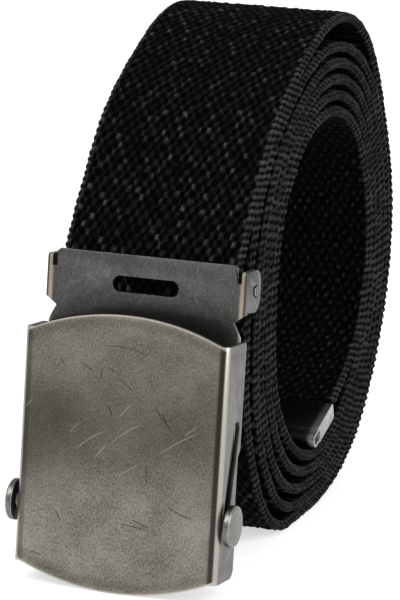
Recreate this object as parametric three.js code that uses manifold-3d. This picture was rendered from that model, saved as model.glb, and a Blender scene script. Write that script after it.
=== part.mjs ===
// A woven web belt, rolled up and standing on its edge turn, with a box buckle at its outer end.
// Millimetres. X runs across the web, -Y is the buckle's side, +Z is up.
// The origin is on the surface that the belt stands on, under the middle of its box.
// The buckle is drawn in its own frame: x across, drop down its face from the top corners, depth behind it.

import * as THREE from "three";
import { mergeVertices } from "three/addons/utils/BufferGeometryUtils.js";
import Module from "manifold-3d";

const wasm = await Module();
wasm.setup();

// The web
const webWidth = 38;
const webThickness = 2.6;
const selvedgeRound = 0.7;
const clearance = 0.3; // between pieces, and between turns, that touch on the real belt
const turnPitch = webThickness + clearance; // centre to centre of two turns that lie tight

// The roll, seen along X
const rollDistance = 75.4; // from the foot of the buckle's face back to the roll's centre
const innerRadius = 32.5; // from the roll's centre to the middle of the innermost turn, at the back
const fullTurns = 5;
const stepDegrees = 6;
const tipAngle = -78; // where the inner end leaves the round for the flat ferrule
const leaveAngle = 146; // where the outer turn leaves the roll for the buckle
const bridgeSteps = 8;
const tipSlope = 18; // degrees that the ferrule falls towards its bead
const tipLift = 3.2; // the ferrule holds the innermost turn this much off the one under it
const tipLiftStart = -30; // where it begins to rise

// How the roll's form differs from a circle. angle counts from the back, up over the crest, in even steps.
// radius is a share of innerRadius and pitch a share of turnPitch.
const rollForm = [
  { angle: 0, radius: 1.0, pitch: 1.16 },
  { angle: 30, radius: 0.998, pitch: 1.15 },
  { angle: 60, radius: 1.037, pitch: 1.2 },
  { angle: 90, radius: 1.036, pitch: 1.17 },
  { angle: 120, radius: 1.052, pitch: 1.0 },
  { angle: 150, radius: 1.043, pitch: 1.0 },
  { angle: 180, radius: 0.997, pitch: 1.05 },
  { angle: 210, radius: 1.061, pitch: 1.22 },
  { angle: 240, radius: 1.103, pitch: 1.46 },
  { angle: 270, radius: 1.157, pitch: 1.0 },
  { angle: 300, radius: 1.062, pitch: 1.17 },
  { angle: 330, radius: 1.009, pitch: 1.14 },
];

// Where a turn lies loose: it and the turns over it stand off the roll by lift, which fades out over spread.
// angle counts on through all turns from the back of the innermost one.
const loosePlaces = [
  { angle: 903, spread: 75, lift: 1.2 }, // the front, third turn
  { angle: 1618, spread: 80, lift: 1.3 }, // the front, fifth turn
  { angle: 1785, spread: 75, lift: 1.2 }, // the back, outer turn
  { angle: 1871, spread: 42, lift: 3.1 }, // the crest, outer turn
];

// The outer turns lie a little further across than the inner ones.
const sideShift = -0.6;
const sideShiftStart = 1480;
const sideShiftEnd = 1580;

// The buckle's face box: an arched plate with two side walls
const sheet = 1.0;
const faceHalfWidth = 21.7;
const faceDrop = 47.7; // height of the face at its corners
const archRise = 4.2; // how far the arched ends rise past the corners
const bendRadius = 1.7; // outer radius of the bends
const boxDepth = 10.3;
const wallTopRound = 0.9;
const wallFootRound = 2.0;
const wallRecess = 1.2; // the walls' rear edge is cut back behind the slot
const recessStart = 23; // drop where the cut begins
const recessEnd = 40;
const lean = THREE.MathUtils.degToRad(5.7); // the face leans back
const archSteps = 24;
const roundSteps = 8; // to a quarter turn of a bend

// The slanted slots in the side walls, and the post that slides in them
const slotFoot = { drop: 36, depth: 3.8 };
const slotHead = { drop: 17.5, depth: 7.4 };
const postRadius = 1.6;
const headRadius = 4.25;
const headThickness = 1.4;
const headChamfer = 0.3;
const headStandOff = 0.9; // from the side wall to the head
const roundSides = 32;

// The back plate, which reaches above the face and carries the ears
const backPlateRise = 15.1;
const backPlateFoot = 46; // drop of its lower edge
const windowLength = 14.2;
const windowHeight = 3.3;
const windowRise = 9.1;
const earTopRise = 13.9;
const earFootRise = 5.3;
const earRound = 3.0; // also the ear's reach past the jaw's pin
const earInset = 0.5; // the ears stand this much inside the width of the face
const earHalfWidth = faceHalfWidth - earInset;
const topNotchWidth = 1.6; // relief between the plate's top edge and each ear
const topNotchDepth = 2.4;
const waistRise = 3.6; // the notch under each ear
const waistInset = 1.5;
const cornerCut = 0.5; // the small cut corners of the stamped plate

// The toothed jaw that holds the web's outer end against the back plate
const jawPinRise = 9.6;
const jawPinStandOff = 1.9; // from the back of the web to the middle of the pin
const webBack = boxDepth + 2 * clearance + webThickness;
const jawPivot = { drop: -jawPinRise, depth: webBack + jawPinStandOff };
const jawPinRadius = 1.0;
const jawPinReach = 0.25; // how far the pin stands out of the ear
const jawMargin = 0.4; // metal round the pin
const jawLip = 1.2; // thickness of its biting edge
const webEndDrop = -3.5;
const webStraightDrop = -7;

// The folded ferrule on the inner end
const ferruleSheet = 0.6;
const ferruleLength = 9.0; // of its flat part
const ferruleOverhang = 0.6; // past each edge of the web
const crimpedThickness = 2.0; // of the web inside it
const ferruleChamfer = 0.5; // at its mouth
const beadRadius = 1.6;
const beadHoleRadius = 1.0;
const beadStretch = 1.8; // the bead is a little longer than it is high
const beadSteps = 12;
const crimpedRings = 2; // sections of the web that the ferrule holds

const halfWeb = webWidth / 2;
const halfFlat = halfWeb - selvedgeRound;
const weldDistance = 1e-4;
const radians = THREE.MathUtils.degToRad;

// A closed solid from a mesh whose corners are joined by their places alone.
function solidOf(geometry) {
  const bare = new THREE.BufferGeometry();
  bare.setAttribute("position", geometry.getAttribute("position").clone());
  if (geometry.index) bare.setIndex(geometry.index.clone());
  const shared = mergeVertices(bare, weldDistance);
  const vertProperties = new Float32Array(shared.getAttribute("position").array);
  const triVerts = new Uint32Array(shared.index.array);
  return new wasm.Manifold(new wasm.Mesh({ numProp: 3, vertProperties, triVerts }));
}

function geometryOf(solid) {
  const mesh = solid.getMesh();
  const geometry = new THREE.BufferGeometry();
  geometry.setAttribute("position", new THREE.BufferAttribute(new Float32Array(mesh.vertProperties), 3));
  geometry.setIndex(new THREE.BufferAttribute(new Uint32Array(mesh.triVerts), 1));
  geometry.computeVertexNormals();
  return geometry;
}

const across = new THREE.Vector3(1, 0, 0);
const dropAxis = new THREE.Vector3(0, -Math.sin(lean), -Math.cos(lean));
const depthAxis = new THREE.Vector3(0, Math.cos(lean), -Math.sin(lean));
const faceHeight = (faceDrop + archRise) * Math.cos(lean) + sheet * Math.sin(lean);
const faceTop = new THREE.Vector3(0, (faceDrop + archRise) * Math.sin(lean), faceHeight);

function bucklePoint(drop, depth) {
  return faceTop.clone().addScaledVector(dropAxis, drop).addScaledVector(depthAxis, depth);
}

function extruded(shape, from, to, curveSegments) {
  const geometry = new THREE.ExtrudeGeometry(shape, { depth: to - from, bevelEnabled: false, curveSegments });
  return geometry.translate(0, 0, from);
}

function placed(geometry, first, second, third) {
  const placement = new THREE.Matrix4().makeBasis(first, second, third).setPosition(faceTop);
  return solidOf(mirrored(geometry.applyMatrix4(placement), placement));
}

// A drawing in (x, drop) extruded along the depth, from one depth to another.
function plateFromFront(shape, fromDepth, toDepth) {
  return placed(extruded(shape, fromDepth, toDepth, archSteps), across, dropAxis, depthAxis);
}

// A drawing in (drop, depth) extruded along x, from one x to another.
function plateFromSide(shape, fromX, toX) {
  return placed(extruded(shape, fromX, toX, roundSteps), dropAxis, depthAxis, across);
}

// A placement that mirrors a mesh turns its faces inside out, so their corners are put back in order.
function mirrored(geometry, placement) {
  if (placement.determinant() > 0) return geometry;
  const position = geometry.getAttribute("position");
  const first = new THREE.Vector3();
  const last = new THREE.Vector3();
  for (let corner = 0; corner < position.count; corner += 3) {
    first.fromBufferAttribute(position, corner);
    last.fromBufferAttribute(position, corner + 2);
    position.setXYZ(corner, last.x, last.y, last.z);
    position.setXYZ(corner + 2, first.x, first.y, first.z);
  }
  return geometry;
}

function stadium(from, to, radius) {
  const angle = Math.atan2(to.y - from.y, to.x - from.x);
  const shape = new THREE.Shape();
  shape.absarc(to.x, to.y, radius, angle - Math.PI / 2, angle + Math.PI / 2, false);
  shape.absarc(from.x, from.y, radius, angle + Math.PI / 2, angle + 1.5 * Math.PI, false);
  shape.closePath();
  return shape;
}

// The web's path

// A smooth closed curve through one column of the form table.
function formAt(column, angle) {
  const rows = rollForm.length;
  const place = THREE.MathUtils.euclideanModulo(angle, 360) / rollForm[1].angle;
  const row = Math.floor(place);
  const along = place - row;
  const value = (offset) => rollForm[(row + offset + rows) % rows][column];
  const [before, here, next, after] = [-1, 0, 1, 2].map(value);
  const slopeHere = (next - before) / 2;
  const slopeNext = (after - here) / 2;
  const cubic = 2 * here - 2 * next + slopeHere + slopeNext;
  const square = -3 * here + 3 * next - 2 * slopeHere - slopeNext;
  return ((cubic * along + square) * along + slopeHere) * along + here;
}

// How far the loose places lift the web at an angle, each once in every turn from its own on.
function looseLift(angle) {
  let lift = 0;
  for (const place of loosePlaces) {
    for (let off = angle - place.angle; off > -place.spread; off -= 360) {
      if (off < place.spread) lift += place.lift * Math.cos((off / place.spread) * (Math.PI / 2)) ** 2;
    }
  }
  return lift;
}

// From the roll's centre to the middle of the web, at an angle counted from the inner end through all turns.
function rollRadius(angle) {
  const pitch = turnPitch * Math.max(1, formAt("pitch", angle));
  const held = tipLift * THREE.MathUtils.smoothstep(-angle, -tipLiftStart, -tipAngle);
  return innerRadius * formAt("radius", angle) + (pitch * angle) / 360 + looseLift(angle) - held;
}

const lowestAngle = 360 * (fullTurns - 1) + 270; // where the outermost full turn touches the surface
const rollCentreHeight = rollRadius(lowestAngle) + webThickness / 2;

function rollPoint(angle) {
  const radius = rollRadius(angle);
  const y = rollDistance + radius * Math.cos(radians(angle));
  const z = rollCentreHeight + radius * Math.sin(radians(angle));
  if (angle < 0) return new THREE.Vector2(y, z);
  // The turns lie flat where the roll's weight presses them on the surface.
  const turnsBelow = Math.round((lowestAngle - angle) / 360);
  return new THREE.Vector2(y, Math.max(z, webThickness / 2 + turnPitch * turnsBelow));
}

// The middle of the web as points in (y, z) from its inner to its outer end, each with its shift across.
function webPath() {
  const lastAngle = 360 * fullTurns + leaveAngle;
  const points = [];
  const shifts = [];
  for (let angle = tipAngle; angle < lastAngle; angle += stepDegrees) {
    points.push(rollPoint(angle));
    shifts.push(sideShift * THREE.MathUtils.smoothstep(angle, sideShiftStart, sideShiftEnd));
  }
  const inward = new THREE.Vector2(-Math.cos(radians(tipSlope)), -Math.sin(radians(tipSlope)));
  const ferruleStart = points[0].clone().addScaledVector(inward, clearance);
  const webEnd = points[0].clone().addScaledVector(inward, ferruleLength);
  const leave = rollPoint(lastAngle);
  const leaveWay = leave.clone().sub(rollPoint(lastAngle - 1)).normalize();
  const webDepth = boxDepth + clearance + webThickness / 2;
  const held = bucklePoint(webStraightDrop, webDepth);
  const end = bucklePoint(webEndDrop, webDepth);
  const reach = leave.distanceTo(new THREE.Vector2(held.y, held.z)) / 3;
  const bridge = new THREE.CubicBezierCurve(
    leave,
    leave.clone().addScaledVector(leaveWay, reach),
    new THREE.Vector2(held.y - dropAxis.y * reach, held.z - dropAxis.z * reach),
    new THREE.Vector2(held.y, held.z),
  );
  bridge.getPoints(bridgeSteps).forEach((point, step) => {
    points.push(point);
    shifts.push(sideShift * (1 - step / bridgeSteps));
  });
  points.push(new THREE.Vector2(end.y, end.z));
  return { points: [webEnd, ...points], shifts: [0, ...shifts, 0], inward, ferruleStart };
}

const path = webPath();

// The web as one ribbon: a flat section with narrowed selvedges, carried along the path.
function webSolid() {
  const { points, shifts } = path;
  const corners = [];
  points.forEach((point, index) => {
    const before = points[Math.max(index - 1, 0)];
    const after = points[Math.min(index + 1, points.length - 1)];
    const way = after.clone().sub(before).normalize();
    const half = (index < crimpedRings ? crimpedThickness : webThickness) / 2;
    const upper = [[-halfWeb, 0], [-halfFlat, half], [halfFlat, half]];
    const lower = upper.map(([x, off]) => [-x, -off]);
    for (const [x, off] of [...upper, ...lower]) {
      corners.push(x + shifts[index], point.x - way.y * off, point.y + way.x * off);
    }
  });
  const sides = corners.length / points.length / 3;
  const faces = [];
  for (let ring = 0; ring + 1 < points.length; ring += 1) {
    for (let side = 0; side < sides; side += 1) {
      const next = (side + 1) % sides;
      const here = ring * sides;
      const there = here + sides;
      faces.push(here + side, here + next, there + next, here + side, there + next, there + side);
    }
  }
  const last = (points.length - 1) * sides;
  for (let side = 1; side + 1 < sides; side += 1) {
    faces.push(0, side + 1, side, last, last + side, last + side + 1);
  }
  const geometry = new THREE.BufferGeometry();
  geometry.setAttribute("position", new THREE.Float32BufferAttribute(corners, 3));
  return geometry.setIndex(faces);
}

// A sheet folded over the web's end, with closed sides and a bead at the fold.
function tipFerrule() {
  const gapHalf = crimpedThickness / 2 + clearance;
  const wallHalf = gapHalf + ferruleSheet;
  const half = halfWeb + ferruleOverhang;
  const flat = ferruleLength + beadRadius;
  const outline = new THREE.Shape();
  outline.moveTo(ferruleChamfer, -wallHalf);
  outline.lineTo(flat, -wallHalf);
  outline.lineTo(flat, wallHalf);
  outline.lineTo(ferruleChamfer, wallHalf);
  outline.lineTo(0, wallHalf - ferruleChamfer);
  outline.lineTo(0, -wallHalf + ferruleChamfer);
  outline.closePath();
  const pocket = new THREE.Shape();
  pocket.moveTo(-ferruleSheet, -gapHalf);
  pocket.lineTo(ferruleLength, -gapHalf);
  pocket.lineTo(ferruleLength, gapHalf);
  pocket.lineTo(-ferruleSheet, gapHalf);
  pocket.closePath();
  const from = new THREE.Vector2(flat, 0);
  const to = new THREE.Vector2(flat + beadStretch, 0);
  const bar = (shape, reach) => solidOf(extruded(shape, -reach, reach, beadSteps));
  const solid = bar(outline, half)
    .add(bar(stadium(from, to, beadRadius), half))
    .subtract(bar(stadium(from, to, beadHoleRadius), half + ferruleOverhang))
    .subtract(bar(pocket, halfWeb + clearance));
  const way = new THREE.Vector3(0, path.inward.x, path.inward.y);
  const up = new THREE.Vector3().crossVectors(across, way);
  const placement = new THREE.Matrix4().makeBasis(way, up, across);
  placement.setPosition(0, path.ferruleStart.x, path.ferruleStart.y);
  return geometryOf(solid).applyMatrix4(placement);
}

// The pressed face with its side walls, arched ends and slanted slots
function faceBox() {
  const inner = faceHalfWidth - sheet;
  const bendInner = bendRadius - sheet;
  const channel = new THREE.Shape();
  channel.moveTo(-faceHalfWidth, boxDepth);
  channel.lineTo(-faceHalfWidth, bendRadius);
  channel.absarc(-faceHalfWidth + bendRadius, bendRadius, bendRadius, Math.PI, 1.5 * Math.PI, false);
  channel.absarc(faceHalfWidth - bendRadius, bendRadius, bendRadius, 1.5 * Math.PI, 2 * Math.PI, false);
  channel.lineTo(faceHalfWidth, boxDepth);
  channel.lineTo(inner, boxDepth);
  channel.absarc(inner - bendInner, sheet + bendInner, bendInner, 0, -Math.PI / 2, true);
  channel.absarc(-inner + bendInner, sheet + bendInner, bendInner, -Math.PI / 2, -Math.PI, true);
  channel.lineTo(-inner, boxDepth);
  channel.closePath();
  const spare = archRise + sheet;
  const walls = placed(extruded(channel, -spare, faceDrop + spare, roundSteps), across, depthAxis, dropAxis);
  return geometryOf(
    walls
      .intersect(plateFromFront(archedOutline(), -sheet, boxDepth + sheet))
      .intersect(plateFromSide(wallOutline(), -faceHalfWidth - sheet, faceHalfWidth + sheet))
      .subtract(plateFromSide(slotOutline(), -faceHalfWidth - sheet, faceHalfWidth + sheet)),
  );
}

// The face from the front: straight across at the bends, arched between them.
function archedOutline() {
  const corner = faceHalfWidth - bendRadius;
  const radius = (corner ** 2 + archRise ** 2) / (2 * archRise);
  const half = Math.asin(corner / radius);
  const outline = new THREE.Shape();
  outline.moveTo(-faceHalfWidth - sheet, 0);
  outline.lineTo(-corner, 0);
  outline.absarc(0, radius - archRise, radius, -Math.PI / 2 - half, -Math.PI / 2 + half, false);
  outline.lineTo(faceHalfWidth + sheet, 0);
  outline.lineTo(faceHalfWidth + sheet, faceDrop);
  outline.lineTo(corner, faceDrop);
  outline.absarc(0, faceDrop + archRise - radius, radius, Math.PI / 2 - half, Math.PI / 2 + half, false);
  outline.lineTo(-faceHalfWidth - sheet, faceDrop);
  outline.closePath();
  return outline;
}

// The side walls from the side, with rounded rear corners; it leaves the arched ends of the face whole.
function wallOutline() {
  const past = archRise + 2 * sheet;
  const outline = new THREE.Shape();
  outline.moveTo(-past, -sheet);
  outline.lineTo(faceDrop + past, -sheet);
  outline.lineTo(faceDrop + past, bendRadius);
  outline.lineTo(faceDrop, bendRadius);
  outline.absarc(faceDrop - wallFootRound, boxDepth - wallFootRound, wallFootRound, 0, Math.PI / 2, false);
  outline.lineTo(recessEnd + wallRecess, boxDepth);
  outline.lineTo(recessEnd, boxDepth - wallRecess);
  outline.lineTo(recessStart, boxDepth - wallRecess);
  outline.lineTo(recessStart - wallRecess, boxDepth);
  outline.absarc(wallTopRound, boxDepth - wallTopRound, wallTopRound, Math.PI / 2, Math.PI, false);
  outline.lineTo(0, bendRadius);
  outline.lineTo(-past, bendRadius);
  outline.closePath();
  return outline;
}

function slotOutline() {
  const foot = new THREE.Vector2(slotFoot.drop, slotFoot.depth);
  const head = new THREE.Vector2(slotHead.drop, slotHead.depth);
  return stadium(foot, head, postRadius + clearance);
}

// The post with its two riveted heads, at the foot of the slots
function slidingPost() {
  const headStart = faceHalfWidth + headStandOff;
  const headEnd = headStart + headThickness;
  const profile = [
    new THREE.Vector2(0, -headEnd),
    new THREE.Vector2(headRadius - headChamfer, -headEnd),
    new THREE.Vector2(headRadius, -headEnd + headChamfer),
    new THREE.Vector2(headRadius, -headStart),
    new THREE.Vector2(postRadius, -headStart),
    new THREE.Vector2(postRadius, headStart),
    new THREE.Vector2(headRadius, headStart),
    new THREE.Vector2(headRadius, headEnd - headChamfer),
    new THREE.Vector2(headRadius - headChamfer, headEnd),
    new THREE.Vector2(0, headEnd),
  ];
  const geometry = new THREE.LatheGeometry(profile, roundSides);
  geometry.rotateZ(-Math.PI / 2);
  return geometryOf(solidOf(geometry));
}

// The back plate: inside the side walls behind the face, and in sight above it, with its window and ears
function backPlate() {
  const front = boxDepth - sheet;
  const inside = faceHalfWidth - sheet - clearance;
  const notchSide = earHalfWidth - topNotchWidth - sheet;
  const neck = clearance - sheet;
  const rightSide = [
    [notchSide, -backPlateRise],
    [notchSide + cornerCut, -backPlateRise + cornerCut],
    [notchSide + cornerCut, -earTopRise + topNotchDepth],
    [earHalfWidth, -earTopRise + topNotchDepth],
    [earHalfWidth, -earFootRise],
    [inside - waistInset, -waistRise],
    [inside, neck],
    [inside, backPlateFoot],
  ];
  const leftSide = rightSide.map(([x, drop]) => [-x, drop]).reverse();
  const outline = new THREE.Shape([...rightSide, ...leftSide].map(([x, drop]) => new THREE.Vector2(x, drop)));
  const windowEnd = windowLength / 2 - windowHeight / 2;
  const from = new THREE.Vector2(-windowEnd, -windowRise);
  const to = new THREE.Vector2(windowEnd, -windowRise);
  let solid = plateFromFront(outline, front, boxDepth);
  for (const side of [-1, 1]) {
    const wall = earHalfWidth - sheet / 2;
    solid = solid.add(plateFromSide(earOutline(front), side * wall - sheet / 2, side * wall + sheet / 2));
    const hole = new THREE.Shape();
    hole.absarc(jawPivot.drop, jawPivot.depth, jawPinRadius + clearance, 0, 2 * Math.PI, false);
    solid = solid.subtract(plateFromSide(hole, side * wall - sheet, side * wall + sheet));
  }
  return geometryOf(solid.subtract(plateFromFront(stadium(from, to, windowHeight / 2), 0, 2 * boxDepth)));
}

function earOutline(front) {
  const earDepth = jawPivot.depth + earRound;
  const outline = new THREE.Shape();
  outline.moveTo(-earFootRise, front + sheet / 2);
  outline.absarc(-earFootRise - earRound, earDepth - earRound, earRound, 0, Math.PI / 2, false);
  outline.absarc(-earTopRise + earRound, earDepth - earRound, earRound, Math.PI / 2, Math.PI, false);
  outline.lineTo(-earTopRise, front + sheet / 2);
  outline.lineTo(-earTopRise + sheet / 2, front);
  outline.lineTo(-earFootRise - sheet / 2, front);
  outline.closePath();
  return outline;
}

// A wedge-shaped bar across the web, with a pin at each end in the ears' holes
function clampJaw() {
  const halfLength = earHalfWidth - sheet - clearance;
  const bar = new THREE.Shape();
  const round = jawPinRadius + jawMargin;
  bar.moveTo(jawPivot.drop - round, jawPivot.depth);
  bar.lineTo(jawPivot.drop - round / 2, jawPivot.depth + round);
  bar.lineTo(jawPivot.drop + round, jawPivot.depth + round);
  bar.lineTo(webEndDrop - jawLip, webBack + jawLip);
  bar.lineTo(webEndDrop - jawLip, webBack);
  bar.lineTo(webStraightDrop, webBack);
  bar.closePath();
  const pin = new THREE.Shape();
  pin.absarc(jawPivot.drop, jawPivot.depth, jawPinRadius, 0, 2 * Math.PI, false);
  const pinEnd = earHalfWidth + jawPinReach;
  return geometryOf(plateFromSide(bar, -halfLength, halfLength).add(plateFromSide(pin, -pinEnd, pinEnd)));
}

// The object

function piece(name, geometry, colour, roughness, metalness) {
  const material = new THREE.MeshStandardMaterial({ color: colour, roughness, metalness });
  const mesh = new THREE.Mesh(geometry, material);
  mesh.name = name;
  return mesh;
}

const belt = new THREE.Group();
belt.add(piece("web", geometryOf(solidOf(webSolid())), 0x151515, 0.95, 0));
belt.add(piece("tip_ferrule", tipFerrule(), 0x9a978f, 0.4, 1));
belt.add(piece("face_box", faceBox(), 0x7d7468, 0.4, 1));
belt.add(piece("back_plate", backPlate(), 0x6f6b64, 0.4, 1));
belt.add(piece("clamp_jaw", clampJaw(), 0x6f6b64, 0.5, 1));
const post = piece("sliding_post", slidingPost(), 0x8b8a86, 0.35, 1);
post.position.copy(bucklePoint(slotFoot.drop, slotFoot.depth));
belt.add(post);

// The origin goes under the middle of the whole belt.
const box = new THREE.Box3().setFromObject(belt);
belt.position.y = -(box.min.y + box.max.y) / 2;

export default belt;
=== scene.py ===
# A woven web belt, rolled up and standing on its edge turn, with a box buckle at its outer end.
# Metres. X runs across the web, -Y is the buckle's side, +Z is up.

import math

import bmesh
import bpy
import numpy as np
from mathutils import Matrix, Vector


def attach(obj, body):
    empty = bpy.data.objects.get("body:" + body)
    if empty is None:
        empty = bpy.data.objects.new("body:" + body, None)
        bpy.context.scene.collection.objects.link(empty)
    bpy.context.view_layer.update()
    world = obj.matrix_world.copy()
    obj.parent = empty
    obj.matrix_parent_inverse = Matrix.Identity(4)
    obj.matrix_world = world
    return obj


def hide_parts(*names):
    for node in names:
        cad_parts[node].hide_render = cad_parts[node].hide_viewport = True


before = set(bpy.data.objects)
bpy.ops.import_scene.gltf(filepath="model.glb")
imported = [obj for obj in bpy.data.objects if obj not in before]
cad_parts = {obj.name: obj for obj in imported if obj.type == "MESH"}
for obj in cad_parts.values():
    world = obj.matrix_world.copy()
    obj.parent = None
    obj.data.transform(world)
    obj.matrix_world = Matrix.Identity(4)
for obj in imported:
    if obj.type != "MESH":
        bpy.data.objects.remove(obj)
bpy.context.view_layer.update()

MM = 0.001

# The web and its path, in millimetres, as in the part
WEB_WIDTH = 38.0
WEB_THICKNESS = 2.6
CLEARANCE = 0.3
TURN_PITCH = WEB_THICKNESS + CLEARANCE
ROLL_DISTANCE = 75.4
INNER_RADIUS = 32.5
FULL_TURNS = 5
TIP_ANGLE = -78
LEAVE_ANGLE = 146
TIP_SLOPE = math.radians(18)
TIP_LIFT = 3.2
TIP_LIFT_START = -30
FERRULE_LENGTH = 9.0
CRIMPED_THICKNESS = 2.0
SIDE_SHIFT = -0.6
SIDE_SHIFT_START = 1480
SIDE_SHIFT_END = 1580

# How the roll's form differs from a circle: shares of the inner radius and of the turn pitch, each 30 degrees
ROLL_RADIUS = (1.0, 0.998, 1.037, 1.036, 1.052, 1.043, 0.997, 1.061, 1.103, 1.157, 1.062, 1.009)
ROLL_PITCH = (1.16, 1.15, 1.2, 1.17, 1.0, 1.0, 1.05, 1.22, 1.46, 1.0, 1.17, 1.14)

# Where a turn lies loose: its angle through all turns, how far that spreads, and how far it stands off
LOOSE_PLACES = ((903, 75, 1.2), (1618, 80, 1.3), (1785, 75, 1.2), (1871, 42, 3.1))

PATH_STEP = 0.5
BRIDGE_STEPS = 60

# The weave: raised grains in rows, each row half a grain aside of the last
GRAIN_WIDTH = 2.1
ROW_LENGTH = 1.7
RELIEF = 0.55
SELVEDGE_RELIEF = 0.6
SELVEDGE_PROUD = 0.3
CRIMP_FADE = 3
SELVEDGE_START = FERRULE_LENGTH + 2
TANGENT_REACH = 1.2

# The buckle's own frame: x across, drop down the face, depth behind it
LEAN = math.radians(5.7)
FACE_DROP = 47.7
ARCH_RISE = 4.2
SHEET = 1.0
BOX_DEPTH = 10.3
WEB_END_DROP = -3.5
WEB_STRAIGHT_DROP = -7.0
FACE_HALF_WIDTH = 21.7
BEND_RADIUS = 1.7
SHIFT = -63.553

# Edges sharper than these angles stay sharp, or are bevelled; flatter joins in the metal are dissolved
WEB_SHARP_ANGLE = math.radians(75)
METAL_SHARP_ANGLE = math.radians(40)
BEVEL_ANGLE = math.radians(30)
FLAT_ANGLE = math.radians(1)
WELD_DISTANCE = 1e-6

DROP_AXIS = Vector((0, -math.sin(LEAN), -math.cos(LEAN)))
DEPTH_AXIS = Vector((0, math.cos(LEAN), -math.sin(LEAN)))
FACE_TOP = Vector(
    (
        0,
        (FACE_DROP + ARCH_RISE) * math.sin(LEAN) + SHIFT,
        (FACE_DROP + ARCH_RISE) * math.cos(LEAN) + SHEET * math.sin(LEAN),
    )
)


def buckle_point(across, drop, depth):
    return Vector((across, 0, 0)) + FACE_TOP + DROP_AXIS * drop + DEPTH_AXIS * depth


# Small helpers for node materials


class Shader:
    """One node material with short calls for its nodes."""

    def __init__(self, name):
        self.material = bpy.data.materials.new(name)
        self.material.use_nodes = True
        self.nodes = self.material.node_tree.nodes
        self.links = self.material.node_tree.links
        self.surface = self.nodes["Principled BSDF"]

    def node(self, kind, **settings):
        made = self.nodes.new(kind)
        for key, value in settings.items():
            setattr(made, key, value)
        return made

    def feed(self, socket, value):
        if isinstance(value, bpy.types.NodeSocket):
            self.links.new(value, socket)
        else:
            socket.default_value = value

    def math(self, operation, first, second=None, third=None):
        made = self.node("ShaderNodeMath", operation=operation)
        for socket, value in zip(made.inputs, (first, second, third)):
            if value is not None:
                self.feed(socket, value)
        return made.outputs[0]

    def noise(self, vector, scale, detail=3.0, roughness=0.55):
        made = self.node("ShaderNodeTexNoise")
        self.feed(made.inputs["Vector"], vector)
        made.inputs["Scale"].default_value = scale
        made.inputs["Detail"].default_value = detail
        made.inputs["Roughness"].default_value = roughness
        return made.outputs["Fac"]

    def stretch(self, vector, scale, turn=(0.0, 0.0, 0.0)):
        made = self.node("ShaderNodeMapping")
        self.feed(made.inputs["Vector"], vector)
        made.inputs["Scale"].default_value = scale
        made.inputs["Rotation"].default_value = turn
        return made.outputs[0]

    def ramp(self, value, low, high, out_low=0.0, out_high=1.0):
        made = self.node("ShaderNodeMapRange", interpolation_type="SMOOTHSTEP")
        self.feed(made.inputs["Value"], value)
        made.inputs["From Min"].default_value = low
        made.inputs["From Max"].default_value = high
        made.inputs["To Min"].default_value = out_low
        made.inputs["To Max"].default_value = out_high
        return made.outputs[0]

    def mix(self, share, first, second):
        made = self.node("ShaderNodeMix", data_type="RGBA")
        self.feed(made.inputs["Factor"], share)
        self.feed(made.inputs["A"], first)
        self.feed(made.inputs["B"], second)
        return made.outputs["Result"]

    def dot(self, vector, axis):
        made = self.node("ShaderNodeVectorMath", operation="DOT_PRODUCT")
        self.feed(made.inputs[0], vector)
        self.feed(made.inputs[1], axis)
        return made.outputs["Value"]

    def join(self, first, second, third):
        made = self.node("ShaderNodeCombineXYZ")
        for socket, value in zip(made.inputs, (first, second, third)):
            self.feed(socket, value)
        return made.outputs[0]

    def split(self, vector):
        made = self.node("ShaderNodeSeparateXYZ")
        self.feed(made.inputs[0], vector)
        return made.outputs

    def bump(self, height, distance, strength):
        made = self.node("ShaderNodeBump")
        made.inputs["Strength"].default_value = strength
        made.inputs["Distance"].default_value = distance
        self.feed(made.inputs["Height"], height)
        return made.outputs[0]


# The web's path


def smooth_step(value, low, high):
    share = np.clip((value - low) / (high - low), 0, 1)
    return share * share * (3 - 2 * share)


def form_at(table, angle):
    rows = len(table)
    place = (angle % 360) / 360 * rows
    row = int(place)
    along = place - row
    before, here, following, after = (table[(row + offset) % rows] for offset in (-1, 0, 1, 2))
    slope_here = (following - before) / 2
    slope_next = (after - here) / 2
    cubic = 2 * here - 2 * following + slope_here + slope_next
    square = -3 * here + 3 * following - 2 * slope_here - slope_next
    return ((cubic * along + square) * along + slope_here) * along + here


def loose_lift(angle):
    lift = 0.0
    for place, spread, height in LOOSE_PLACES:
        off = angle - place
        while off > -spread:
            if off < spread:
                lift += height * math.cos(off / spread * math.pi / 2) ** 2
            off -= 360
    return lift


def roll_radius(angle):
    pitch = TURN_PITCH * max(1, form_at(ROLL_PITCH, angle))
    held = TIP_LIFT * smooth_step(-angle, -TIP_LIFT_START, -TIP_ANGLE)
    return INNER_RADIUS * form_at(ROLL_RADIUS, angle) + pitch * angle / 360 + loose_lift(angle) - held


LOWEST_ANGLE = 360 * (FULL_TURNS - 1) + 270
ROLL_CENTRE_HEIGHT = roll_radius(LOWEST_ANGLE) + WEB_THICKNESS / 2


def roll_point(angle):
    radius = roll_radius(angle)
    y = ROLL_DISTANCE + SHIFT + radius * math.cos(math.radians(angle))
    z = ROLL_CENTRE_HEIGHT + radius * math.sin(math.radians(angle))
    turns_below = round((LOWEST_ANGLE - angle) / 360)
    lowest = WEB_THICKNESS / 2 + TURN_PITCH * turns_below
    return np.array((y, z if angle < 0 else max(z, lowest)))


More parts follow.
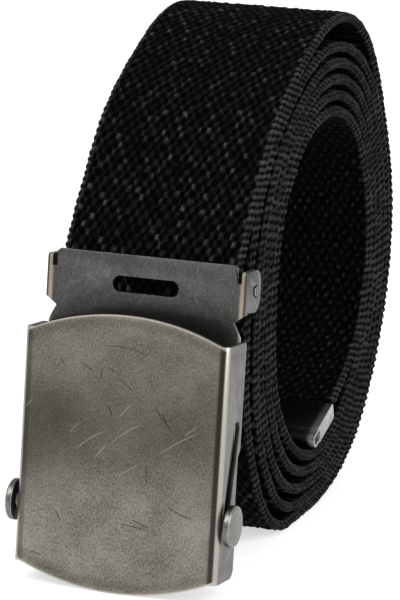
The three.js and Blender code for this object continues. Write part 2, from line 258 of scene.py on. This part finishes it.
def web_path():
    """The middle of the web from its inner to its outer end, in (y, z), and each point's shift across."""
    last_angle = 360 * FULL_TURNS + LEAVE_ANGLE
    angles = np.arange(TIP_ANGLE, last_angle + PATH_STEP, PATH_STEP)
    points = [roll_point(angle) for angle in angles]
    shifts = list(SIDE_SHIFT * smooth_step(angles, SIDE_SHIFT_START, SIDE_SHIFT_END))
    inward = np.array((-math.cos(TIP_SLOPE), -math.sin(TIP_SLOPE)))
    web_end = points[0] + inward * FERRULE_LENGTH
    leave = roll_point(last_angle)
    way = leave - roll_point(last_angle - 1)
    way /= np.linalg.norm(way)
    depth = BOX_DEPTH + CLEARANCE + WEB_THICKNESS / 2
    held = np.array(buckle_point(0, WEB_STRAIGHT_DROP, depth)[1:])
    end = np.array(buckle_point(0, WEB_END_DROP, depth)[1:])
    reach = np.linalg.norm(held - leave) / 3
    corners = (leave, leave + way * reach, held - np.array(DROP_AXIS[1:]) * reach, held)
    for step in range(1, BRIDGE_STEPS + 1):
        t = step / BRIDGE_STEPS
        weights = ((1 - t) ** 3, 3 * t * (1 - t) ** 2, 3 * t * t * (1 - t), t**3)
        points.append(sum(w * c for w, c in zip(weights, corners)))
        shifts.append(SIDE_SHIFT * (1 - t))
    return np.array([web_end, *points, end]), np.array([0.0, *shifts, 0.0])


PATH, PATH_SHIFT = web_path()
PATH_ALONG = np.concatenate(([0], np.cumsum(np.linalg.norm(np.diff(PATH, axis=0), axis=1))))
WEB_LENGTH = float(PATH_ALONG[-1])


# The web as stretches of one ribbon with a real weave; its UVs are in centimetres along and across


def cell_value(row, column):
    """A steady value from 0 to 1 for each grain of the weave."""
    mixed = np.sin(row * 12.9898 + column * 78.233) * 43758.5453
    return mixed - np.floor(mixed)


def weave_wave(x, along):
    """1 on the middle of each grain and -1 between the grains of a row, with slightly uneven spacing."""
    bent_x = x + 0.17 * np.sin(0.41 * along + 1.7 * x) + 0.14 * np.sin(0.93 * along - 0.6 * x + 2)
    bent_along = along + 0.22 * np.sin(0.53 * x + 0.11 * along) + 0.14 * np.sin(1.9 * x + 0.7 * along)
    wave = np.cos(2 * np.pi * bent_x / GRAIN_WIDTH) * np.cos(np.pi * bent_along / ROW_LENGTH)
    row = np.round(bent_along / ROW_LENGTH)
    column = np.round(bent_x / GRAIN_WIDTH - 0.5 * (row % 2))
    return wave, cell_value(row, column)


def outer_relief(x, along):
    wave, value = weave_wave(x, along)
    return smooth_step(wave, -0.7, 0.6) * (0.45 + 0.55 * value)


def inner_relief(x, along):
    wave, value = weave_wave(x + 0.5, along + 0.6)
    return 0.25 + smooth_step(wave, 0.1, 0.95) * (0.5 + 0.25 * value)


def selvedge_relief(turn, along):
    """Weft yarns that wrap the edge aslant, like the lay of a rope."""
    wander = 0.14 * np.sin(0.37 * along) + 0.2 * np.sin(0.113 * along + 2)
    wrap = along / ROW_LENGTH + 0.28 * turn + wander
    value = cell_value(np.round(wrap), 5)
    groove = np.cos(3.1 * turn) ** 2
    return 0.1 + smooth_step(np.cos(2 * np.pi * wrap), -0.8, 0.8) * (0.35 + 0.3 * value) + 0.25 * groove


def edge_points(middle, start, end, edge_steps, side):
    """The half-round edge of the web about the line at x = middle, without its ends."""
    radius = WEB_THICKNESS / 2
    for turn in np.linspace(start, end, edge_steps + 1)[1:-1]:
        way_x = math.cos(turn)
        way_height = math.sin(turn)
        yield middle + radius * way_x, radius * way_height, way_x, way_height, side, turn


def web_section(inner_steps, outer_steps, edge_steps):
    """Points round the web (x, height, outward way, side and turn), and how far round the girth each one is.

    Sides: 0 is the inner face, 1 the right selvedge, 2 the outer face and 3 the left selvedge.
    """
    half = WEB_WIDTH / 2
    radius = WEB_THICKNESS / 2
    flat = half - radius
    rows = []
    for x in np.linspace(-flat, flat, inner_steps + 1):
        rows.append((x, radius, 0, 1, 0, 0))
    rows.extend(edge_points(flat, math.pi / 2, -math.pi / 2, edge_steps, 1))
    for x in np.linspace(flat, -flat, outer_steps + 1):
        rows.append((x, -radius, 0, -1, 2, 0))
    rows.extend(edge_points(-flat, -math.pi / 2, -1.5 * math.pi, edge_steps, 3))
    rows = np.array(rows)
    steps = np.linalg.norm(np.diff(rows[:, :2], axis=0, append=rows[:1, :2]), axis=1)
    return rows, np.concatenate(([0], np.cumsum(steps)))


def path_at(along):
    """The place on the path at each length along it."""
    return np.stack([np.interp(along, PATH_ALONG, PATH[:, axis]) for axis in (0, 1)], 1)


def web_stretch(name, start, end, step, inner_steps, outer_steps, edge_steps):
    rings = round((end - start) / step) + 1
    along = np.linspace(start, end, rings)
    centre = path_at(along)
    way = path_at(along + TANGENT_REACH) - path_at(along - TANGENT_REACH)
    way /= np.linalg.norm(way, axis=1)[:, None]
    shift = np.interp(along, PATH_ALONG, PATH_SHIFT)
    section, girth = web_section(inner_steps, outer_steps, edge_steps)
    sides = len(section)
    x, height, way_x, way_height, side, turn = (section[None, :, column] for column in range(6))
    place = along[:, None]
    relief = np.where(side == 0, inner_relief(x, place), outer_relief(x, place))
    on_edge = ((side == 1) | (side == 3)) & (place > SELVEDGE_START)
    relief = np.where(on_edge, selvedge_relief(turn, place), relief)
    sunk = (relief - 1) * np.where(on_edge, SELVEDGE_RELIEF, RELIEF)
    proud = np.where(on_edge, SELVEDGE_PROUD * way_x, 0)
    # The ferrule crimps the first few millimetres.
    crimp = 1 - smooth_step(place, FERRULE_LENGTH, FERRULE_LENGTH + CRIMP_FADE)
    squeeze = 1 - crimp * (1 - CRIMPED_THICKNESS / WEB_THICKNESS)
    off = (height + way_height * sunk) * squeeze
    coordinates = np.zeros((rings, sides, 3))
    coordinates[:, :, 0] = x + way_x * sunk + proud + shift[:, None]
    coordinates[:, :, 1] = centre[:, None, 0] - way[:, None, 1] * off
    coordinates[:, :, 2] = centre[:, None, 1] + way[:, None, 0] * off
    ring, corner = np.meshgrid(np.arange(rings - 1), np.arange(sides), indexing="ij")
    following = (corner + 1) % sides
    here = ring * sides
    faces = np.stack([here + corner, here + following, here + sides + following, here + sides + corner], 2)
    left, right = girth[corner], girth[corner + 1]
    low, high = along[ring], along[ring + 1]
    uvs = np.stack([left, low, right, low, right, high, left, high], 2)
    mesh = bpy.data.meshes.new(name)
    caps = [list(range(sides))[::-1], list(range((rings - 1) * sides, rings * sides))]
    mesh.from_pydata((coordinates.reshape(-1, 3) * MM).tolist(), [], faces.reshape(-1, 4).tolist() + caps)
    layer = mesh.uv_layers.new(name="weave")
    layer.data.foreach_set("uv", np.concatenate(((uvs * 0.1).ravel(), np.zeros(4 * sides))))
    for key, values in (("relief", relief), ("selvedge", on_edge)):
        attribute = mesh.attributes.new(key, "FLOAT", "POINT")
        every = np.broadcast_to(values, (rings, sides)).astype(np.float32)
        attribute.data.foreach_set("value", every.ravel())
    mesh.shade_smooth()
    mesh.set_sharp_from_angle(angle=WEB_SHARP_ANGLE)
    web = bpy.data.objects.new(name, mesh)
    bpy.context.collection.objects.link(web)
    return web


def web_material():
    s = Shader("black_cotton_web")
    place = s.node("ShaderNodeUVMap", uv_map="weave").outputs[0]
    relief = s.node("ShaderNodeAttribute", attribute_name="relief").outputs["Fac"]
    selvedge = s.node("ShaderNodeAttribute", attribute_name="selvedge").outputs["Fac"]
    strands = s.noise(s.stretch(place, (26.0, 8.0, 1.0), (0, 0, 0.25)), 1.0, detail=3, roughness=0.6)
    lint = s.noise(place, 70.0, detail=2)
    # Noise that spreads the painted highlights on the grain tops into patches.
    highlight_spread = s.noise(place, 1.1, detail=2)
    height = s.math("MULTIPLY_ADD", strands, 0.9, relief)
    height = s.math("MULTIPLY_ADD", lint, 0.3, height)
    # Painted shade: the gaps between the grains are painted near black and the grain tops lighter, on top of
    # the real relief.
    lit = s.ramp(height, 0.75, 1.6)
    base = s.mix(lit, (0.0003, 0.0003, 0.0003, 1), (0.0095, 0.0094, 0.0088, 1))
    # The selvedges are painted about four times lighter: partly their own lighter fuzz, partly painted light
    # from the side.
    edge = s.mix(lit, (0.001, 0.001, 0.001, 1), (0.038, 0.0375, 0.0355, 1))
    base = s.mix(selvedge, base, edge)
    # Painted highlights on the highest grains, in patches.
    grain_top_highlight = s.math("MULTIPLY", s.ramp(height, 1.38, 1.62), s.ramp(highlight_spread, 0.3, 0.7, 0.25, 0.8))
    s.feed(s.surface.inputs["Base Color"], s.mix(grain_top_highlight, base, (0.065, 0.064, 0.061, 1)))
    s.surface.inputs["Sheen Weight"].default_value = 0.005
    s.surface.inputs["Sheen Roughness"].default_value = 0.5
    s.surface.inputs["Roughness"].default_value = 0.9
    s.surface.inputs["Specular IOR Level"].default_value = 0.02
    s.feed(s.surface.inputs["Normal"], s.bump(height, 0.0003, 0.9))
    return s.material


# The antiqued metal

# Scratches on the buckle's face: x and drop of the middle and half the length in millimetres, angle in
# degrees, and bow
DARK_SCRATCHES = (
    (-0.2, 2.2, 5.2, 5, 0.028),
    (-7.7, 6.9, 1.7, 26, 0.0),
    (-13.1, 6.5, 1.0, 50, 0.0),
    (-4.8, 7.9, 1.2, 94, 0.02),
    (-2.9, 6.8, 0.9, 28, 0.0),
    (0.4, 9.4, 2.1, 36, 0.0),
    (8.2, 15.1, 2.8, 50, -0.03),
    (9.3, 16.0, 2.0, 61, 0.0),
    (-2.5, 15.1, 1.2, 65, 0.0),
    (5.8, 27.2, 2.3, 85, 0.0),
    (13.3, 34.1, 3.5, 21, -0.02),
    (3.5, 37.8, 3.2, 6, 0.0),
    (5.2, 37.1, 2.0, 21, 0.0),
    (-16.9, 45.6, 1.4, 16, 0.0),
    (-12.6, 37.2, 1.5, 57, 0.03),
)
LIGHT_SCRATCHES = (
    (0.7, 14.7, 2.2, -51, 0.0),
    (-10.0, 19.3, 1.5, -51, 0.0),
    (-6.5, 21.1, 4.0, -35, 0.03),
    (-4.3, 23.6, 2.5, -53, 0.02),
    (1.0, 19.1, 4.2, -36, 0.02),
    (12.1, 19.9, 5.3, -33, 0.01),
    (1.8, 26.7, 2.7, -33, 0.0),
    (14.6, 17.4, 1.9, -40, 0.0),
    (-19.9, 15.4, 1.2, -51, 0.0),
)
SCRATCH_WIDTH = 0.16

# Colours of the patina, of painted shade and of painted highlights, linear
# Painted shade on the tip's flat faces
TIP_PAINTED_SHADE = (0.012, 0.011, 0.01, 1)
SHADE_BY_THE_ARCH = (0.016, 0.015, 0.013, 1)
EAR_GREY = (0.04, 0.04, 0.038, 1)
# Painted highlight on the plate's bends into the ears
BEND_PAINTED_HIGHLIGHT = (0.42, 0.37, 0.29, 1)
SIDE_DARK = (0.115, 0.114, 0.109, 1)
SIDE_LIGHT = (0.168, 0.166, 0.16, 1)
WORN_DARK = (0.04, 0.036, 0.031, 1)
BAND_DARK = (0.026, 0.02, 0.015, 1)
DULL_MARGIN = (0.05, 0.046, 0.04, 1)
RIM_LIGHT = (0.46, 0.43, 0.38, 1)
BEND_LIGHT = (0.4, 0.38, 0.34, 1)
DARK_MARK = (0.02, 0.017, 0.014, 1)
LIGHT_MARK = (0.45, 0.42, 0.38, 1)
SCUFF_LIGHT = (0.42, 0.4, 0.37, 1)
NICK_DARK = (0.02, 0.018, 0.016, 1)


def buckle_place(s):
    """The place in the buckle's own frame, in millimetres: x, drop and depth."""
    place = s.node("ShaderNodeTexCoord").outputs["Object"]
    from_top = s.node("ShaderNodeVectorMath", operation="SUBTRACT")
    s.feed(from_top.inputs[0], place)
    s.feed(from_top.inputs[1], FACE_TOP * MM)
    axes = (Vector((1, 0, 0)), DROP_AXIS, DEPTH_AXIS)
    return [s.dot(from_top.outputs[0], axis / MM) for axis in axes]


def scratches(s, flat_place, rows):
    """The strongest of a few bowed scratches at each place."""
    strongest = None
    for x, drop, half, angle, bow in rows:
        local = s.node("ShaderNodeMapping", vector_type="TEXTURE")
        s.feed(local.inputs["Vector"], flat_place)
        local.inputs["Location"].default_value = (x, drop, 0)
        local.inputs["Rotation"].default_value = (0, 0, math.radians(angle))
        along, aside, _ = s.split(local.outputs[0])
        square = s.math("MULTIPLY", along, along)
        off = s.math("ABSOLUTE", s.math("MULTIPLY_ADD", square, -bow, aside))
        thin = s.ramp(off, SCRATCH_WIDTH * 0.3, SCRATCH_WIDTH, 1.0, 0.0)
        short = s.ramp(s.math("ABSOLUTE", along), half * 0.6, half, 1.0, 0.0)
        one = s.math("MULTIPLY", thin, short)
        strongest = one if strongest is None else s.math("MAXIMUM", strongest, one)
    return strongest


def fine_scratches(s, place, cell, length, width, seed):
    """Short straight scratches, one in each cell of a loose pattern, each turned its own way."""
    cells = s.node("ShaderNodeTexVoronoi", voronoi_dimensions="3D", feature="F1")
    s.feed(cells.inputs["Vector"], s.stretch(place, (1 / cell, 1 / cell, 1 / cell), (0, 0, seed)))
    cells.inputs["Scale"].default_value = 1.0
    local = s.node("ShaderNodeVectorMath", operation="SUBTRACT")
    s.feed(local.inputs[0], s.stretch(place, (1 / cell, 1 / cell, 1 / cell), (0, 0, seed)))
    s.feed(local.inputs[1], cells.outputs["Position"])
    x, y, _ = s.split(local.outputs[0])
    hue, pick, _ = s.split(cells.outputs["Color"])
    turn = s.math("MULTIPLY", hue, math.pi)
    cosine, sine = s.math("COSINE", turn), s.math("SINE", turn)
    along = s.math("ADD", s.math("MULTIPLY", x, cosine), s.math("MULTIPLY", y, sine))
    aside = s.math("SUBTRACT", s.math("MULTIPLY", y, cosine), s.math("MULTIPLY", x, sine))
    thin = s.ramp(s.math("ABSOLUTE", aside), width / cell * 0.4, width / cell, 1.0, 0.0)
    short = s.ramp(s.math("ABSOLUTE", along), length * 0.25, length * 0.5, 1.0, 0.0)
    return s.math("MULTIPLY", s.math("MULTIPLY", thin, short), s.ramp(pick, 0.45, 0.6))


def face_edge(s, x, drop):
    """How far inside the face's two arches a place is, in millimetres."""
    corner = FACE_HALF_WIDTH - BEND_RADIUS
    radius = (corner**2 + ARCH_RISE**2) / (2 * ARCH_RISE)
    square = s.math("MULTIPLY", x, x)
    gaps = []
    for middle in (radius - ARCH_RISE, FACE_DROP + ARCH_RISE - radius):
        off = s.math("SUBTRACT", drop, middle)
        away = s.math("SQRT", s.math("MULTIPLY_ADD", off, off, square))
        gaps.append(s.math("SUBTRACT", radius, away))
    return s.math("MINIMUM", *gaps)


def tip_painted_shade(s, colour, x):
    """The tip's flat faces are painted nearly black as painted shade; its two ends keep the metal's own
    colour.
    """
    tip_ends_unshaded = s.ramp(s.math("ABSOLUTE", x), 17.6, 18.6)
    # Painted shade: all but the two ends is mixed nine tenths toward near black.
    return s.mix(tip_ends_unshaded, s.mix(0.9, colour, TIP_PAINTED_SHADE), colour)


def plate_shade_and_highlight(s, colour, x, drop):
    """Darker on the ears, with painted shadow beside the face's arch and a painted brown highlight where the
    ears turn back.
    """
    aside = s.math("ABSOLUTE", x)
    # Painted shadow of the face box on the plate, just above the arch.
    colour = s.mix(s.ramp(drop, -10.0, -3.0, 0.0, 0.4), colour, SHADE_BY_THE_ARCH)
    colour = s.mix(s.ramp(aside, 20.2, 20.9, 0.0, 0.7), colour, EAR_GREY)
    # A painted brown highlight along the bend into each ear.
    bend_highlight = s.math("MULTIPLY", s.ramp(aside, 19.7, 20.3), s.ramp(aside, 20.6, 21.0, 1.0, 0.0))
    return s.mix(s.math("MULTIPLY", bend_highlight, 0.75), colour, BEND_PAINTED_HIGHLIGHT)


def worn_middle(s, x, drop):
    """How dark the face has worn: most across its middle, and more on its left."""
    from_middle = s.math("ABSOLUTE", s.math("SUBTRACT", drop, 20.0))
    middle = s.ramp(from_middle, 1.0, 16.0, 1.0, 0.0)
    from_left_patch = s.math("ABSOLUTE", s.math("SUBTRACT", drop, 22.0))
    left = s.math("MULTIPLY", s.ramp(x, -3.0, -17.0), s.ramp(from_left_patch, 6.0, 18.0, 1.0, 0.0))
    return s.math("MULTIPLY_ADD", left, 0.24, s.math("MULTIPLY", middle, 0.42))


def face_patina(s, colour, x, drop, depth, cloud, speck):
    """The face's worn tones and edges, over smooth side walls, with a partly painted highlight on the bends;
    also gives how far a place is on the face.
    """
    aside = s.math("ABSOLUTE", x)
    on_face = s.ramp(depth, 0.5, 1.3, 1.0, 0.0)
    colour = s.mix(on_face, s.mix(s.ramp(cloud, 0.3, 0.7), SIDE_DARK, SIDE_LIGHT), colour)
    colour = s.mix(s.math("MULTIPLY", worn_middle(s, x, drop), on_face), colour, WORN_DARK)
    # A ragged dark band inside each long edge, stronger on the right
    ragged = s.math("MULTIPLY_ADD", speck, 1.3, aside)
    band = s.math("MULTIPLY", s.ramp(ragged, 20.1, 20.8), s.ramp(aside, 20.8, 21.2, 1.0, 0.0))
    band = s.math("MULTIPLY", band, s.ramp(x, -1.0, 1.0, 0.45, 0.92))
    colour = s.mix(band, colour, BAND_DARK)
    # A light rim on the arches, with a dull margin inside it
    edge = face_edge(s, x, drop)
    rim = s.ramp(s.math("MULTIPLY_ADD", speck, 0.5, edge), 0.3, 0.75, 1.0, 0.0)
    dull = s.math("MULTIPLY", s.ramp(edge, 0.6, 1.1), s.ramp(edge, 1.5, 3.2, 1.0, 0.0))
    colour = s.mix(s.math("MULTIPLY", dull, 0.3), colour, DULL_MARGIN)
    colour = s.mix(s.math("MULTIPLY", rim, on_face), colour, RIM_LIGHT)
    # The bends to the side walls, painted light: partly worn bright, partly a painted highlight
    bend = s.math("MULTIPLY", s.ramp(aside, 20.7, 21.1), s.ramp(depth, 0.9, 1.7, 1.0, 0.0))
    return s.mix(s.math("MULTIPLY", bend, 0.8), colour, BEND_LIGHT), on_face


def patina_metal(name, light, dark, roughness, kind="plain"):
    """Mottled metal between two colours; kind picks the face's worn tones and partly painted bend highlight,
    the plate's painted shade and highlight, or the tip's painted shade.
    """
    s = Shader(name)
    x, drop, depth = buckle_place(s)
    place = s.join(x, drop, depth)
    broad = s.noise(place, 0.085, detail=3, roughness=0.5)
    cloud = s.noise(place, 0.42, detail=5, roughness=0.62)
    speck = s.noise(s.stretch(place, (1.0, 0.55, 1.0)), 3.4, detail=4, roughness=0.7)
    grain = s.noise(place, 6.5, detail=3, roughness=0.7)
    tone = s.math("MULTIPLY_ADD", broad, 0.3, s.math("MULTIPLY", cloud, 0.12))
    tone = s.math("MULTIPLY_ADD", speck, 0.65, tone)
    tone = s.math("MULTIPLY_ADD", grain, 0.5, tone)
    share = s.ramp(tone, 0.6, 0.97)
    colour = s.mix(share, dark, light)
    scuffs = s.math(
        "MAXIMUM",
        fine_scratches(s, place, 3.1, 0.7, 0.07, 0.3),
        fine_scratches(s, place, 1.9, 0.8, 0.055, 1.4),
    )
    colour = s.mix(s.math("MULTIPLY", scuffs, 0.28), colour, SCUFF_LIGHT)
    nicks = fine_scratches(s, place, 2.1, 0.65, 0.07, 2.2)
    colour = s.mix(s.math("MULTIPLY", nicks, 0.45), colour, NICK_DARK)
    height = s.math("MULTIPLY", speck, 0.5)
    if kind == "tip":
        colour = tip_painted_shade(s, colour, x)
    elif kind == "plate":
        colour = plate_shade_and_highlight(s, colour, x, drop)
    elif kind == "face":
        colour, on_face = face_patina(s, colour, x, drop, depth, cloud, speck)
        flat_place = s.join(x, drop, 0.0)
        marks = scratches(s, flat_place, DARK_SCRATCHES)
        shine = scratches(s, flat_place, LIGHT_SCRATCHES)
        dark_share = s.math("MULTIPLY", s.math("MULTIPLY", marks, on_face), 0.75)
        colour = s.mix(dark_share, colour, DARK_MARK)
        light_share = s.math("MULTIPLY", s.math("MULTIPLY", shine, on_face), 0.32)
        colour = s.mix(light_share, colour, LIGHT_MARK)
        cut = s.math("MULTIPLY", s.math("MAXIMUM", marks, shine), 0.6)
        height = s.math("SUBTRACT", height, cut)
    s.feed(s.surface.inputs["Base Color"], colour)
    s.surface.inputs["Metallic"].default_value = 1.0
    s.feed(s.surface.inputs["Roughness"], s.ramp(share, 0.0, 1.0, roughness + 0.1, roughness))
    s.feed(s.surface.inputs["Normal"], s.bump(height, 0.00004, 0.6))
    return s.material


def refined(node, bevel):
    """A copy of a CAD node whose edges are rounded and worn; the worn edges take its second material."""
    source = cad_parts[node]
    mesh = source.data.copy()
    work = bmesh.new()
    work.from_mesh(mesh)
    bmesh.ops.remove_doubles(work, verts=work.verts, dist=WELD_DISTANCE)
    bmesh.ops.dissolve_limit(work, angle_limit=FLAT_ANGLE, verts=work.verts, edges=work.edges)
    work.to_mesh(mesh)
    work.free()
    mesh.materials.clear()
    piece = bpy.data.objects.new(node + "_finished", mesh)
    bpy.context.collection.objects.link(piece)
    edge = piece.modifiers.new("worn edges", "BEVEL")
    edge.width = bevel * MM
    edge.segments = 2
    edge.limit_method = "ANGLE"
    edge.angle_limit = BEVEL_ANGLE
    edge.material = 1
    return piece


def finish_edges(piece):
    """Applies the bevel of a refined piece, once its materials are on."""
    graph = bpy.context.evaluated_depsgraph_get()
    done = bpy.data.meshes.new_from_object(piece.evaluated_get(graph))
    piece.modifiers.clear()
    piece.data = done
    done.shade_smooth()
    done.set_sharp_from_angle(angle=METAL_SHARP_ANGLE)


# The web in three stretches: the outer turn to the buckle, the turns inside it, and the innermost one
INNER_STRETCH = 215.0
OUTER_STRETCH = 385.0
EDGE_STEPS = 10
cotton = web_material()
inner_web = web_stretch("web_inner_turn", 0.0, INNER_STRETCH, 0.5, 66, 16, EDGE_STEPS)
middle_web = web_stretch("web_middle_turns", INNER_STRETCH, WEB_LENGTH - OUTER_STRETCH, 0.6, 8, 8, EDGE_STEPS)
outer_web = web_stretch("web_outer_turn", WEB_LENGTH - OUTER_STRETCH, WEB_LENGTH, 0.46, 16, 72, EDGE_STEPS)
for stretch, length, under in (
    (inner_web, INNER_STRETCH, "web_middle_turns"),
    (middle_web, WEB_LENGTH - INNER_STRETCH - OUTER_STRETCH, "web_outer_turn"),
    (outer_web, OUTER_STRETCH, "back_plate_finished"),
):
    stretch.data.materials.append(cotton)
    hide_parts("web")
    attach(stretch, "belt")

face_metal = patina_metal("antiqued_face", (0.29, 0.268, 0.23, 1), (0.068, 0.062, 0.053, 1), 0.36, "face")
plate_metal = patina_metal("antiqued_plate", (0.13, 0.13, 0.125, 1), (0.055, 0.055, 0.053, 1), 0.34, "plate")
bright_metal = patina_metal("bright_nickel", (0.38, 0.375, 0.36, 1), (0.21, 0.207, 0.2, 1), 0.26, "tip")
post_metal = patina_metal("post_nickel", (0.19, 0.188, 0.18, 1), (0.11, 0.109, 0.105, 1), 0.3)
worn_metal = patina_metal("worn_edge", (0.42, 0.4, 0.36, 1), (0.17, 0.16, 0.14, 1), 0.32)
for node, bevel, finish, body_name, slot in (
    ("face_box", 0.2, face_metal, "belt", "antique_metal"),
    ("back_plate", 0.16, plate_metal, "belt", "antique_metal"),
    ("clamp_jaw", 0.2, plate_metal, "belt", "antique_metal"),
    ("tip_ferrule", 0.15, bright_metal, "belt", "bright_metal"),
    ("sliding_post", 0.12, post_metal, "post", "bright_metal"),
):
    piece = refined(node, bevel)
    piece.data.materials.append(finish)
    piece.data.materials.append(worn_metal)
    finish_edges(piece)
    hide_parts(node)
    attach(piece, body_name)

# Floor, light and camera

floor_mesh = bpy.data.meshes.new("floor")
FLOOR_HALF = 4
floor_corners = [(x * FLOOR_HALF, y * FLOOR_HALF, 0) for x, y in ((-1, -1), (1, -1), (1, 1), (-1, 1))]
floor_mesh.from_pydata(floor_corners, [], [(0, 1, 2, 3)])
floor = bpy.data.objects.new("floor", floor_mesh)
bpy.context.collection.objects.link(floor)
pale = Shader("pale_floor")
pale.surface.inputs["Base Color"].default_value = (0.6, 0.6, 0.6, 1)
pale.surface.inputs["Roughness"].default_value = 0.9
pale.surface.inputs["Specular IOR Level"].default_value = 0.0
pale.surface.inputs["Emission Color"].default_value = (1, 1, 1, 1)
pale.surface.inputs["Emission Strength"].default_value = 0.62
floor_mesh.materials.append(pale.material)

world = bpy.data.worlds.new("studio")
bpy.context.scene.world = world
world.use_nodes = True
world.node_tree.nodes["Background"].inputs["Color"].default_value = (1, 1, 1, 1)
world.node_tree.nodes["Background"].inputs["Strength"].default_value = 0.6


def soft_light(name, place, target, size, power):
    lamp = bpy.data.lights.new(name, "AREA")
    lamp.shape = "RECTANGLE"
    lamp.size, lamp.size_y = size
    lamp.energy = power
    holder = bpy.data.objects.new(name, lamp)
    bpy.context.collection.objects.link(holder)
    holder.location = place
    holder.rotation_mode = "QUATERNION"
    holder.rotation_quaternion = (Vector(target) - Vector(place)).to_track_quat("-Z", "Y")


ROLL_MIDDLE = (0, 0, 0.05)
soft_light("key", (-0.5, -0.8, 1.1), ROLL_MIDDLE, (0.8, 0.8), 11)
soft_light("side", (0.9, -0.3, 0.6), ROLL_MIDDLE, (0.6, 0.8), 8)

CAMERA_PLACE = (0.23375, -0.611345 + SHIFT * MM, 0.21219)
CAMERA_FORWARD = Vector((-0.32549, 0.91826, -0.22550))
CAMERA_RIGHT = Vector((0.94023, 0.33957, 0.02564))
camera_data = bpy.data.cameras.new("camera")
camera_data.sensor_width = 36
camera_data.lens = 206.0
camera = bpy.data.objects.new("camera", camera_data)
bpy.context.collection.objects.link(camera)
right = CAMERA_RIGHT.normalized()
back = -CAMERA_FORWARD.normalized()
up = back.cross(right).normalized()
right = up.cross(back)
camera.matrix_world = Matrix(
    (
        (right.x, up.x, back.x, CAMERA_PLACE[0]),
        (right.y, up.y, back.y, CAMERA_PLACE[1]),
        (right.z, up.z, back.z, CAMERA_PLACE[2]),
        (0, 0, 0, 1),
    )
)
bpy.context.scene.camera = camera
bpy.context.scene.view_settings.view_transform = "Standard"
